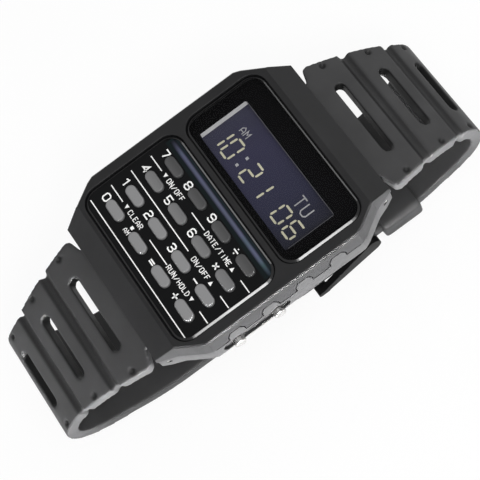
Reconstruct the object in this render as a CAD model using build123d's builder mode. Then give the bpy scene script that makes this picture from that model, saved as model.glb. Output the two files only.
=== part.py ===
# Digital calculator wristwatch with its resin strap buckled into a loop.
# Millimetres. +Z out of the face, +Y to 12 o'clock, +X to 3 o'clock.
# The origin is the centre of the case back's outer face.
import math
import os

from build123d import *

os.makedirs("parts", exist_ok=True)

# Case, plan outline
case_length = 43.2
case_half_width = 17.2
end_y = case_length / 2
straight_side_y = end_y - 8.0
corner_x = case_half_width - 0.5
corner_y = end_y - 6.8
shoulder_x = case_half_width - 2.7
shoulder_y = end_y - 3.4
end_half_width = case_half_width - 4.0
overrun = 1.0

# Case, heights
case_height = 8.2
body_bottom = 0.3
skirt_bottom = 4.6
deck_bottom = 6.3
deck_top = 6.9

# Bezel
bezel_draft = 5.0
facet_start_y = end_y - 3.7
facet_end_height = 5.6
skirt_wall = 1.2
bezel_edge = 0.25
edge_slope = 45.0
upper_reach = end_y - 4.3
bezel_fit = 0.1

# Toothed parting line on both long sides
tooth_count = 4
tooth_pitch = 6.15
tooth_base_width = 2.8
tooth_tip_width = 1.6
tooth_root_height = 0.9
tooth_height = 1.8
tooth_fit = 0.16

# Window openings
window_half_width = case_half_width - 2.15
window_radius = 2.8
glass_low_y = 2.05
glass_high_y = end_y - 4.7
panel_low_y = 4.4 - end_y
panel_high_y = 1.25
window_fit = 0.15
window_edge = 0.35
window_edge_height = 0.45
glass_recess = 0.2
panel_recess = 0.3

# Case body
body_inset = 0.2
body_edge = 1.0
lug_inner_x = end_half_width - 3.15
lug_slot_y = end_y - 3.05
lug_slope_start_y = end_y - 4.0
lug_slope_height = 2.0
cavity_half_width = case_half_width - 3.6
cavity_half_length = end_y - 5.8
cavity_radius = 3.0
keypad_deck_half_width = cavity_half_width - 0.3
keypad_deck_low_y = 0.3 - cavity_half_length
keypad_deck_high_y = 0.1
display_deck_half_width = cavity_half_width - 1.0
display_deck_low_y = 3.0
display_deck_high_y = 13.4
deck_radius = 1.0

# Case back, gasket and screws
back_thickness = 0.9
back_inset = 1.9
back_reach = end_y - 3.3
back_fit = 0.1
back_edge = 0.2
gasket_wall = 0.2
gasket_width = 0.5
gasket_height = 0.45
groove_depth = 0.5
case_screw_x = cavity_half_width - 2.0
case_screw_y = cavity_half_length + 1.2
case_screw_radius = 0.5
case_screw_head_radius = 0.95
case_screw_head_height = 0.5
case_screw_length = 3.2
case_screw_fit = 0.02
screw_slot_width = 0.28
screw_slot_depth = 0.22

# Keys
first_key_x = -9.7
key_pitch_x = 6.7
first_key_y = -2.35
key_pitch_y = 3.73
key_names = (
    ("7", "8", "9", "divide"),
    ("4", "5", "6", "times"),
    ("1", "2", "3", "minus"),
    ("0", "point", "equals", "plus"),
)
key_length = 4.0
key_width = 1.75
key_stand = 0.45
key_edge = 0.22
key_fit = 0.1
key_flange_rim = 0.42
key_flange_thickness = 0.4
key_flange_gap = 0.05
key_stem_length = 2.4
key_stem_width = 1.1
key_stem_height = 0.25

# Key membrane
membrane_half_width = cavity_half_width - 0.5
membrane_low_y = 0.5 - cavity_half_length
membrane_high_y = -0.3
membrane_thickness = 0.4
dome_base_radius = 1.5
dome_top_radius = 1.0
dome_wall = 0.3
dome_gap = 0.03

# Circuit board and what sits on it
board_half_width = cavity_half_width - 0.4
board_half_length = cavity_half_length - 0.4
board_radius = 2.6
board_bottom = 4.1
board_thickness = 0.6
chip_x = 0.0
chip_y = -8.0
chip_radius = 3.4
chip_height = 0.9
crystal_x = 8.5
crystal_y = -12.0
crystal_radius = 0.9
crystal_length = 5.0
pocket_fit = 0.25

# Display
cell_half_width = cavity_half_width - 0.7
cell_low_y = 2.6
cell_high_y = 14.2
cell_thickness = 0.8
strip_height = 0.6
strip_width = 0.8
strip_half_length = cell_half_width - 0.9
strip_inset = 0.15
spacer_gap = 0.2
view_half_width = display_deck_half_width - 0.8
view_low_y = 3.7
view_high_y = 12.7
mask_fit = 0.1
mask_gap = 0.03
mask_radius = 0.5

# Module frame, battery and buzzer
frame_half_width = cavity_half_width - 0.3
frame_half_length = cavity_half_length - 0.3
frame_radius = 2.7
frame_bottom = 1.5
battery_x = 0.0
battery_y = 6.5
battery_radius = 8.0
battery_height = 1.6
battery_rim = 0.25
battery_bottom = 1.9
clip_half_width = 9.6
clip_half_length = 2.2
clip_thickness = 0.2
clip_gap = 0.03
contact_length = 5.0
contact_width = 2.0
contact_thickness = 0.2
buzzer_x = 0.0
buzzer_y = -5.5
buzzer_radius = 8.5
buzzer_thickness = 0.2
buzzer_crystal_radius = 6.0
buzzer_crystal_thickness = 0.1
buzzer_spring_x = 6.8
buzzer_spring_y = -3.0
buzzer_spring_radius = 0.7
buzzer_spring_wire = 0.2
buzzer_spring_turns = 4
module_screw_x = frame_half_width - 2.3
module_screw_y = frame_half_length - 1.9
module_screw_radius = 0.4
module_screw_head_radius = 0.75
module_screw_head_height = 0.3
module_screw_length = 2.9
module_screw_fit = 0.02

# Pushers on the 3 o'clock side
upper_pusher_y = -2.4
lower_pusher_y = -9.7
pusher_y = (upper_pusher_y, lower_pusher_y)
pusher_names = ("upper", "lower")
pusher_z = 2.5
recess_middle_y = -6.2
recess_length = 12.2
recess_height = 2.0
recess_depth = 0.55
pusher_radius = 1.0
pusher_stand = 1.4
pusher_edge = 0.2
pusher_head_depth = 0.3
pusher_well_radius = 1.16
pusher_well_depth = 1.15
pusher_shaft_radius = 0.42
pusher_shaft_fit = 0.06
seal_pocket_radius = 0.85
seal_pocket_depth = 0.6
seal_wire_radius = 0.19
seal_fit = 0.02
pusher_neck_radius = 0.3
pusher_neck_length = 0.26
retainer_thickness = 0.22
retainer_radius = 0.85
retainer_fit = 0.02
retainer_gap = 0.05
retainer_mouth = 0.4
pusher_tail = 0.2
pusher_spring_radius = 0.92
pusher_spring_wire = 0.14
pusher_spring_turns = 2
notch_length = 3.0
notch_depth = 1.3
leaf_length = 2.4
leaf_thickness = 0.15
leaf_height = 1.6

# Spring bars
bar_y = end_y - 1.6
bar_z = 3.1
bar_radius = 0.75
bar_tip_radius = 0.4
bar_hole_radius = 0.45
bar_tip_reach = lug_inner_x + 3.35
bar_end_gap = 0.05

# Strap, shared by both halves
strap_start_y = end_y + 0.4
strap_start_z = 3.8
strap_heading = -10.0
strap_thickness = 2.1
shoulder_bend = 47.0
side_bend_12 = 21.5
side_bend_6 = 26.5
turn_bend_12 = 6.0
turn_bend_6 = 5.0
bends_12 = ((shoulder_bend, -10.0), (side_bend_12, -25.0), (turn_bend_12, -90.0))
bends_6 = ((shoulder_bend, -10.0), (side_bend_6, -25.0), (turn_bend_6, -90.0))
last_bend = -45.0
strap_bottom_z = -19.5
eye_radius = 1.3
eye_fit = 0.05
root_length = 4.0
tang_half_width = lug_inner_x - 0.15
tang_end_y = end_y + 0.2
ear_half_width = 12.3
ear_y = 22.5
strap_half_width = 12.7
strap_full_y = 23.3
turn_half_width = 9.7
turn_y = 37.5
tail_half_width = 9.1
tail_y = 31.0

# Slots and grooves across the strap, counted along it from its start
near_slot_half_length = 7.1
middle_slot_half_length = 6.1
far_slot_half_length = 5.3
slot_half_lengths = (near_slot_half_length, middle_slot_half_length, far_slot_half_length)
slot_width = 1.7
first_slot = 3.7
rib_pitch = 3.85
last_pitch_12 = 3.2
last_pitch_6 = 4.4
groove_radius = 0.85
rib_groove_depth = 0.65
scallop_radius = 0.9
scallop_depth = 0.4
dimple_radius = 0.5
dimple_depth = 0.45
dimple_inset = 0.95

# 6 o'clock half: the step that takes its tail outside the 12 o'clock half's end
tail_drop = 1.1
step_radius = 14.0
step_end_y = 3.9
tail_end_y = 17.4
tail_corner_radius = 6.0
layer_gap = 0.3
hole_length = 2.8
hole_width = 2.0
hole_pitch = 5.8
hole_count = 7

# Buckle on the 12 o'clock half
buckle_bar_y = 15.9
buckle_bar_radius = 0.6
buckle_bar_fit = 0.05
buckle_eye_radius = 1.15
buckle_eye_gap = 0.12
buckle_arm_gap = 0.3
buckle_arm_width = 1.1
buckle_ear_radius = 1.5
buckle_ear_drop = 0.5
rail_y = 5.2
rail_width = 2.2
rail_thickness = 1.15
rail_gap = 0.2
rail_round = 0.5
tongue_width = 1.3
tongue_thickness = 0.8
tongue_side_gap = 0.2
tongue_eye_radius = 1.1
tongue_hole_y = 13.6
tongue_overhang = 0.3
tongue_seat_gap = 0.05
tongue_notch_gap = 0.15
tongue_slot_length = 2.9
tongue_lean = 0.12
tongue_foot = 1.0
bar_seat_fit = 0.02
bar_seat_depth = 0.7
quarter_turn = 90.0

# Keeper
keeper_start_y = 18.7
keeper_length = 7.5
keeper_wall = 0.9
keeper_side_gap = 0.25
keeper_gap = 0.15
keeper_corner = 1.0
keeper_edge = 0.3


def case_plan(height, inset, reach=0.0):
    """Plan outline of the case at a height, drawn in by an inset and cut off past a reach in Y."""
    quarter = (
        (case_half_width, straight_side_y),
        (corner_x, corner_y),
        (shoulder_x, shoulder_y),
        (end_half_width, end_y),
    )
    right_side = [(x, -y) for x, y in reversed(quarter)] + list(quarter)
    left_side = [(-x, y) for x, y in reversed(right_side)]
    with BuildSketch(Plane.XY.offset(height)) as plan:
        with BuildLine():
            Polyline(*right_side, *left_side, close=True)
        make_face()
        if inset:
            offset(amount=-inset, kind=Kind.INTERSECTION, mode=Mode.REPLACE)
        if reach:
            Rectangle(2 * case_half_width, 2 * reach, mode=Mode.INTERSECT)
    return plan.sketch


def window_plan(height, half_width, low_y, high_y, radius, shrink=0.0):
    """Rounded rectangle between two Y values at a height, drawn in by a shrink."""
    with BuildSketch(Plane.XY.offset(height)) as plan:
        with Locations((0, (low_y + high_y) / 2)):
            RectangleRounded(
                2 * (half_width - shrink), high_y - low_y - 2 * shrink, max(radius - shrink, radius / 2)
            )
    return plan.sketch


def tooth_plan(fit):
    """The row of teeth seen from the side, in the YZ plane, grown by a fit."""
    foot = tooth_base_width / 2 + fit
    tip = tooth_tip_width / 2 + fit
    corners = (
        (-foot, -fit),
        (foot, -fit),
        (foot, tooth_root_height + fit / 2),
        (tip, tooth_height + fit),
        (-tip, tooth_height + fit),
        (-foot, tooth_root_height + fit / 2),
    )
    with BuildSketch(Plane.YZ) as plan:
        with Locations((0, skirt_bottom)):
            with GridLocations(tooth_pitch, 0, tooth_count, 1):
                Polygon(*corners, align=None)
    return plan.sketch


def side_disc(x, y, z, radius):
    """A disc facing +X at a point."""
    with BuildSketch(Plane.YZ.offset(x)) as disc:
        with Locations((y, z)):
            Circle(radius)
    return disc.sketch


def advance(point, heading, size, turn):
    """Point and heading after a straight (turn 0, size its length) or an arc (size its radius)."""
    angle = math.radians(heading)
    y, z = point
    if turn == 0:
        return (y + size * math.cos(angle), z + size * math.sin(angle)), heading
    side = math.copysign(1, turn)
    centre = (y - side * size * math.sin(angle), z + side * size * math.cos(angle))
    after = math.radians(heading + turn)
    return (centre[0] + side * size * math.sin(after), centre[1] - side * size * math.cos(after)), heading + turn


def to_right(point, heading, gap):
    """The point moved square to the heading, to its right, which is the loop's inside."""
    angle = math.radians(heading)
    return (point[0] + gap * math.sin(angle), point[1] - gap * math.cos(angle))


def follow(point, heading, steps, gap):
    """Start, middle and end points of each step of a path, drawn in by a gap."""
    pieces = []
    for size, turn in steps:
        middle, middle_heading = advance(point, heading, size if turn else size / 2, turn / 2)
        end, end_heading = advance(point, heading, size, turn)
        pieces.append((
            to_right(point, heading, gap),
            to_right(middle, middle_heading, gap),
            to_right(end, end_heading, gap),
            turn,
        ))
        point, heading = end, end_heading
    return pieces


def path_plane(steps, distance, side):
    """Plane on the strap's outer face at a distance along it; side is 1 for 12 o'clock, -1 for 6."""
    point, heading = (strap_start_y, strap_start_z), strap_heading
    for size, turn in steps:
        length = size * math.radians(abs(turn)) if turn else size
        if distance <= length:
            break
        point, heading = advance(point, heading, size, turn)
        distance -= length
    share = distance / length
    point, heading = advance(point, heading, size if turn else distance, turn * share)
    angle = math.radians(heading)
    normal = (0, -math.sin(angle) * side, math.cos(angle))
    return Plane(origin=(0, point[0] * side, point[1]), x_dir=(1, 0, 0), z_dir=normal)


def path_end(steps):
    """Where a path that starts at the strap's start ends, and its heading there."""
    point, heading = (strap_start_y, strap_start_z), strap_heading
    for size, turn in steps:
        point, heading = advance(point, heading, size, turn)
    return point, heading


def bend_radius_to(bends, depth_z):
    """Radius of the last bend, which ends level at a given height."""
    point, heading = path_end(bends)
    fall = point[1] - depth_z
    return fall / (1 - math.cos(math.radians(last_bend)))


def band_profile(steps, side):
    """Side view of a strap half: a band of the strap's thickness inside the path."""
    start = (strap_start_y, strap_start_z)
    outer = follow(start, strap_heading, steps, 0)
    inner = follow(start, strap_heading, steps, strap_thickness)
    with BuildSketch(Plane.YZ) as profile:
        with BuildLine():
            for pieces in (outer, inner):
                for first, middle, last, turn in pieces:
                    ends = [(y * side, z) for y, z in (first, middle, last)]
                    if turn:
                        ThreePointArc(*ends)
                    else:
                        Line(ends[0], ends[2])
            for index, place in ((0, 0), (-1, 2)):
                Line(
                    (outer[index][place][0] * side, outer[index][place][1]),
                    (inner[index][place][0] * side, inner[index][place][1]),
                )
        make_face()
    return profile.sketch


def root_profile(steps, side):
    """Side view of the strap's root: the eye round the spring bar, joined to the band by straight flanks."""
    root_plane = path_plane(steps, root_length, side)
    outer = root_plane.origin
    inner = outer - root_plane.z_dir * strap_thickness
    with BuildSketch(Plane.YZ) as profile:
        with Locations((bar_y * side, bar_z)):
            Circle(eye_radius)
        with BuildLine():
            Polyline(
                (strap_start_y * side, strap_start_z),
                (outer.Y, outer.Z),
                (inner.Y, inner.Z),
                (bar_y * side, bar_z - eye_radius),
                (bar_y * side, bar_z + eye_radius),
                close=True,
            )
        make_face()
    return profile.sketch


def strap_bounds(bends, side, low_y, corner_radius):
    """Solid that gives a strap half its plan outline, above and below the loop's widest point."""
    upper_right = (
        (tang_half_width, bar_y - 2 * eye_radius),
        (tang_half_width, tang_end_y),
        (ear_half_width, ear_y),
        (strap_half_width, strap_full_y),
        (turn_half_width, turn_y),
        (turn_half_width, case_length),
    )
    lower_right = (
        (tail_half_width, low_y),
        (tail_half_width, tail_y),
        (turn_half_width, turn_y),
        (turn_half_width, case_length),
    )
    point, heading = path_end(bends)
    widest_z = point[1] - bends[-1][0] * math.cos(math.radians(heading))
    with BuildPart() as bounds:
        for corners, top, depth in (
            (upper_right, case_height, case_height - widest_z),
            (lower_right, widest_z, widest_z - tail_level + overrun),
        ):
            left = [(-x, y) for x, y in reversed(corners)]
            with BuildSketch(Plane.XY.offset(top)) as plan:
                with BuildLine():
                    Polyline(*[(x, y * side) for x, y in (*corners, *left)], close=True)
                make_face()
                if corner_radius and corners is lower_right:
                    fillet(plan.vertices().group_by(Axis.Y)[-1 if side < 0 else 0], radius=corner_radius)
            extrude(amount=-depth)
    return bounds.part


def path_climb(curve, place_y):
    """How far a half's inner face has climbed from its level part, at a place on the last bend."""
    radius = curve[-1][0] - strap_thickness
    swing = math.asin((place_y - path_end(curve)[0][0]) / radius)
    return radius * (1 - math.cos(swing))


def path_length(steps):
    """Length along a path."""
    return sum(size * math.radians(abs(turn)) if turn else size for size, turn in steps)


def rib_cutters(steps, side, last_pitch):
    """The slots, grooves, edge scallops and dimples that repeat along a strap half, as one cutter."""
    slots = iter(slot_half_lengths)
    last = 2 * len(slot_half_lengths) - 2
    with BuildPart() as cutters:
        for number in range(last + 1):
            stretch = last_pitch - rib_pitch if number == last else 0
            face = path_plane(steps, first_slot + rib_pitch * number + stretch, side)
            share = (face.origin.Y * side - strap_full_y) / (turn_y - strap_full_y)
            share = min(max(share, 0), 1)
            half_width = strap_half_width + (turn_half_width - strap_half_width) * share
            if number % 2 == 0:
                with BuildSketch(face.offset(overrun)):
                    SlotOverall(2 * next(slots), slot_width)
                extrude(amount=-strap_thickness - 2 * overrun)
                with BuildSketch(face.offset(overrun)):
                    with GridLocations(2 * (half_width - dimple_inset), 0, 2, 1):
                        Circle(dimple_radius)
                extrude(amount=-dimple_depth - overrun)
            else:
                middle = face.origin + face.z_dir * (groove_radius - rib_groove_depth)
                with BuildSketch(Plane(origin=middle, x_dir=face.z_dir, z_dir=face.x_dir)):
                    Circle(groove_radius)
                extrude(amount=case_half_width, both=True)
                with BuildSketch(face.offset(overrun)):
                    with GridLocations(2 * (half_width + scallop_radius - scallop_depth), 0, 2, 1):
                        Circle(scallop_radius)
                extrude(amount=-strap_thickness - 2 * overrun)
    return cutters.part


# Bezel: a cover with two windows, sloped ends and a skirt with notches for the case's teeth
bezel_rise = case_height - bezel_edge - skirt_bottom
with BuildPart() as bezel:
    extrude(case_plan(skirt_bottom, 0), amount=bezel_rise, taper=bezel_draft)
    extrude(
        case_plan(case_height - bezel_edge, bezel_rise * math.tan(math.radians(bezel_draft))),
        amount=bezel_edge,
        taper=edge_slope,
    )
    with BuildSketch(Plane.YZ):
        with BuildLine():
            Polyline(
                (facet_start_y, case_height),
                (end_y + overrun, case_height),
                (end_y + overrun, facet_end_height),
                (end_y, facet_end_height),
                close=True,
            )
        make_face()
        mirror(about=Plane.YZ)
    extrude(amount=case_half_width, both=True, mode=Mode.SUBTRACT)
    extrude(
        case_plan(skirt_bottom, skirt_wall, upper_reach + bezel_fit),
        amount=deck_top - skirt_bottom,
        mode=Mode.SUBTRACT,
    )
    for low_y, high_y in ((glass_low_y, glass_high_y), (panel_low_y, panel_high_y)):
        extrude(
            window_plan(deck_top, window_half_width, low_y, high_y, window_radius),
            amount=case_height - deck_top,
            mode=Mode.SUBTRACT,
        )
    extrude(tooth_plan(tooth_fit), amount=case_half_width, both=True, mode=Mode.SUBTRACT)
bezel.part.label = "bezel"
export_step(bezel.part, "parts/bezel.step")

# Case body: the resin shell with four lugs, side teeth, the module's cavity and the pushers' recess
pusher_floor_x = case_half_width - body_inset - recess_depth
pusher_well_x = pusher_floor_x - pusher_well_depth
with BuildPart() as case_body:
    extrude(case_plan(body_bottom, body_inset), amount=skirt_bottom - body_bottom)
    chamfer(case_body.edges().group_by(Axis.Z)[0], length=body_edge)
    extrude(case_plan(skirt_bottom, skirt_wall + bezel_fit, upper_reach), amount=deck_top - skirt_bottom)
    extrude(tooth_plan(0), amount=case_half_width - body_inset, both=True)
    with BuildSketch(Plane.XY):
        with Locations((0, lug_slot_y + case_half_width / 2), (0, -lug_slot_y - case_half_width / 2)):
            Rectangle(2 * lug_inner_x, case_half_width)
    extrude(amount=case_height, mode=Mode.SUBTRACT)
    with BuildSketch(Plane.YZ):
        with BuildLine():
            Polyline(
                (lug_slope_start_y, 0),
                (lug_slope_start_y, body_bottom),
                (end_y, lug_slope_height),
                (end_y + overrun, lug_slope_height),
                (end_y + overrun, 0),
                close=True,
            )
        make_face()
        mirror(about=Plane.YZ)
    extrude(amount=case_half_width, both=True, mode=Mode.SUBTRACT)
    extrude(
        window_plan(body_bottom, cavity_half_width, -cavity_half_length, cavity_half_length, cavity_radius),
        amount=deck_bottom - body_bottom,
        mode=Mode.SUBTRACT,
    )
    for half_width, low_y, high_y in (
        (keypad_deck_half_width, keypad_deck_low_y, keypad_deck_high_y),
        (display_deck_half_width, display_deck_low_y, display_deck_high_y),
    ):
        extrude(
            window_plan(deck_bottom, half_width, low_y, high_y, deck_radius),
            amount=deck_top - deck_bottom,
            mode=Mode.SUBTRACT,
        )
    extrude(
        case_plan(body_bottom, back_inset - back_fit, back_reach + back_fit),
        amount=back_thickness - body_bottom,
        mode=Mode.SUBTRACT,
    )
    with BuildSketch(Plane.XY.offset(back_thickness)):
        RectangleRounded(
            2 * (cavity_half_width + gasket_wall + gasket_width),
            2 * (cavity_half_length + gasket_wall + gasket_width),
            cavity_radius + gasket_wall + gasket_width,
        )
        RectangleRounded(
            2 * (cavity_half_width + gasket_wall),
            2 * (cavity_half_length + gasket_wall),
            cavity_radius + gasket_wall,
            mode=Mode.SUBTRACT,
        )
    extrude(amount=groove_depth, mode=Mode.SUBTRACT)
    with BuildSketch(Plane.XY.offset(back_thickness)):
        with GridLocations(2 * case_screw_x, 2 * case_screw_y, 2, 2):
            Circle(case_screw_radius + case_screw_fit)
    extrude(amount=case_screw_length, mode=Mode.SUBTRACT)
    for y in (bar_y, -bar_y):
        extrude(
            side_disc(0, y, bar_z, bar_hole_radius), amount=case_half_width, both=True, mode=Mode.SUBTRACT
        )
    with BuildSketch(Plane.YZ.offset(pusher_floor_x)):
        with Locations((recess_middle_y, pusher_z)):
            SlotOverall(recess_length, recess_height)
    extrude(amount=case_half_width, mode=Mode.SUBTRACT)
    for y in pusher_y:
        extrude(
            side_disc(pusher_well_x, y, pusher_z, pusher_well_radius),
            amount=case_half_width,
            mode=Mode.SUBTRACT,
        )
        extrude(
            side_disc(pusher_well_x - seal_pocket_depth, y, pusher_z, seal_pocket_radius),
            amount=seal_pocket_depth,
            mode=Mode.SUBTRACT,
        )
        extrude(
            side_disc(cavity_half_width - overrun, y, pusher_z, pusher_shaft_radius + pusher_shaft_fit),
            amount=pusher_well_x - cavity_half_width + overrun,
            mode=Mode.SUBTRACT,
        )
case_body.part.label = "case_body"
export_step(case_body.part, "parts/case_body.step")

# Window glass, with a sloped rim
glass_bottom = deck_top
glass_top = case_height - glass_recess
rim_slope = math.degrees(math.atan2(window_edge, window_edge_height))
with BuildPart() as lcd_glass:
    for low_z, rise, slope in (
        (glass_bottom, glass_top - glass_bottom - window_edge_height, 0),
        (glass_top - window_edge_height, window_edge_height, rim_slope),
    ):
        extrude(
            window_plan(low_z, window_half_width, glass_low_y, glass_high_y, window_radius, window_fit),
            amount=rise,
            taper=slope,
        )
lcd_glass.part.label = "lcd_glass"
export_step(lcd_glass.part, "parts/lcd_glass.step")

# Keypad panel, with a sloped rim and an opening for each key
panel_top = case_height - panel_recess
keypad_x = first_key_x + key_pitch_x * (len(key_names[0]) - 1) / 2
keypad_y = first_key_y - key_pitch_y * (len(key_names) - 1) / 2
with BuildPart() as keypad_panel:
    for low_z, rise, slope in (
        (deck_top, panel_top - deck_top - window_edge_height, 0),
        (panel_top - window_edge_height, window_edge_height, rim_slope),
    ):
        extrude(
            window_plan(low_z, window_half_width, panel_low_y, panel_high_y, window_radius, window_fit),
            amount=rise,
            taper=slope,
        )
    with BuildSketch(Plane.XY.offset(deck_top)):
        with Locations((keypad_x, keypad_y)):
            with GridLocations(key_pitch_x, key_pitch_y, len(key_names[0]), len(key_names)):
                SlotOverall(key_length + 2 * key_fit, key_width + 2 * key_fit)
    extrude(amount=panel_top - deck_top, mode=Mode.SUBTRACT)
keypad_panel.part.label = "keypad_panel"
export_step(keypad_panel.part, "parts/keypad_panel.step")

# Key caps: a crowned stadium on a flange that the panel holds in, with a stem on the membrane's dome
key_top = panel_top + key_stand
flange_top = deck_top - key_flange_gap
flange_bottom = flange_top - key_flange_thickness
stem_bottom = flange_bottom - key_stem_height
for row, names in enumerate(key_names):
    for column, name in enumerate(names):
        centre = (first_key_x + key_pitch_x * column, first_key_y - key_pitch_y * row)
        with BuildPart() as key:
            with BuildSketch(Plane.XY.offset(flange_top)):
                with Locations(centre):
                    SlotOverall(key_length, key_width)
            extrude(amount=key_top - flange_top)
            fillet(key.edges().group_by(Axis.Z)[-1], radius=key_edge)
            with BuildSketch(Plane.XY.offset(flange_bottom)):
                with Locations(centre):
                    SlotOverall(key_length + 2 * key_flange_rim, key_width + 2 * key_flange_rim)
            extrude(amount=key_flange_thickness)
            with BuildSketch(Plane.XY.offset(stem_bottom)):
                with Locations(centre):
                    SlotOverall(key_stem_length, key_stem_width)
            extrude(amount=key_stem_height)
        key.part.label = f"key_{name}"
        export_step(key.part, f"parts/key_{name}.step")

# Key membrane: a rubber sheet with a hollow dome under each key
board_top = board_bottom + board_thickness
membrane_top = board_top + membrane_thickness
dome_top = stem_bottom - dome_gap
with BuildPart() as key_membrane:
    extrude(
        window_plan(board_top, membrane_half_width, membrane_low_y, membrane_high_y, board_radius),
        amount=membrane_thickness,
    )
    with Locations((keypad_x, keypad_y, membrane_top)):
        with GridLocations(key_pitch_x, key_pitch_y, len(key_names[0]), len(key_names)):
            Cone(
                dome_base_radius,
                dome_top_radius,
                dome_top - membrane_top,
                align=(Align.CENTER, Align.CENTER, Align.MIN),
            )
    with Locations((keypad_x, keypad_y, board_top)):
        with GridLocations(key_pitch_x, key_pitch_y, len(key_names[0]), len(key_names)):
            Cone(
                dome_base_radius - dome_wall,
                dome_top_radius - dome_wall,
                dome_top - dome_wall - board_top,
                align=(Align.CENTER, Align.CENTER, Align.MIN),
                mode=Mode.SUBTRACT,
            )
key_membrane.part.label = "key_membrane"
export_step(key_membrane.part, "parts/key_membrane.step")

# Circuit board, with clearance for the module screws
with BuildPart() as circuit_board:
    extrude(
        window_plan(board_bottom, board_half_width, -board_half_length, board_half_length, board_radius),
        amount=board_thickness,
    )
    with BuildSketch(Plane.XY.offset(board_bottom)):
        with GridLocations(2 * module_screw_x, 2 * module_screw_y, 2, 2):
            Circle(module_screw_radius + module_screw_fit)
    extrude(amount=board_thickness, mode=Mode.SUBTRACT)
circuit_board.part.label = "circuit_board"
export_step(circuit_board.part, "parts/circuit_board.step")

# Chip under a flattened drop of epoxy
with BuildPart() as ic_chip:
    with Locations((chip_x, chip_y, board_bottom)):
        Cone(
            chip_radius * math.cos(math.radians(-last_bend)),
            chip_radius,
            chip_height,
            align=(Align.CENTER, Align.CENTER, Align.MAX),
        )
ic_chip.part.label = "ic_chip"
export_step(ic_chip.part, "parts/ic_chip.step")

# Quartz crystal in its can, lying along Y under the board
with BuildPart() as quartz_crystal:
    with BuildSketch(Plane.XZ.offset(-crystal_y)):
        with Locations((crystal_x, board_bottom - crystal_radius)):
            Circle(crystal_radius)
    extrude(amount=crystal_length / 2, both=True)
quartz_crystal.part.label = "quartz_crystal"
export_step(quartz_crystal.part, "parts/quartz_crystal.step")

# Two elastomer strips that carry the display cell on the board
cell_bottom = board_top + strip_height
strip_y = (cell_low_y + strip_inset + strip_width / 2, cell_high_y - strip_inset - strip_width / 2)
with BuildPart() as zebra_connectors:
    with BuildSketch(Plane.XY.offset(board_top)):
        with Locations(*[(0, y) for y in strip_y]):
            Rectangle(2 * strip_half_length, strip_width)
    extrude(amount=strip_height)
zebra_connectors.part.label = "zebra_connectors"
export_step(zebra_connectors.part, "parts/zebra_connectors.step")

# Spacer between the strips
with BuildPart() as lcd_spacer:
    extrude(
        window_plan(
            board_top,
            cell_half_width,
            strip_y[0] + strip_width / 2 + spacer_gap,
            strip_y[1] - strip_width / 2 - spacer_gap,
            deck_radius,
        ),
        amount=strip_height,
    )
lcd_spacer.part.label = "lcd_spacer"
export_step(lcd_spacer.part, "parts/lcd_spacer.step")

# Display cell: a glass sandwich whose lower plate sticks out at the 6 o'clock edge
cell_top = cell_bottom + cell_thickness
with BuildPart() as lcd_cell:
    extrude(
        window_plan(cell_bottom, cell_half_width, cell_low_y, cell_high_y, mask_radius),
        amount=cell_thickness,
    )
    with BuildSketch(Plane.XY.offset(cell_bottom + cell_thickness / 2)):
        with Locations((0, cell_low_y + strip_width / 2)):
            Rectangle(2 * cell_half_width, strip_width)
    extrude(amount=cell_thickness, mode=Mode.SUBTRACT)
lcd_cell.part.label = "lcd_cell"
export_step(lcd_cell.part, "parts/lcd_cell.step")

# Display mask: the dark frame that fills the deck's window round the visible area
with BuildPart() as display_mask:
    extrude(
        window_plan(
            cell_top + mask_gap,
            display_deck_half_width,
            display_deck_low_y,
            display_deck_high_y,
            deck_radius,
            mask_fit,
        ),
        amount=deck_top - cell_top - 2 * mask_gap,
    )
    extrude(
        window_plan(cell_top, view_half_width, view_low_y, view_high_y, mask_radius),
        amount=deck_top - cell_top,
        mode=Mode.SUBTRACT,
    )
display_mask.part.label = "display_mask"
export_step(display_mask.part, "parts/display_mask.step")

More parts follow.
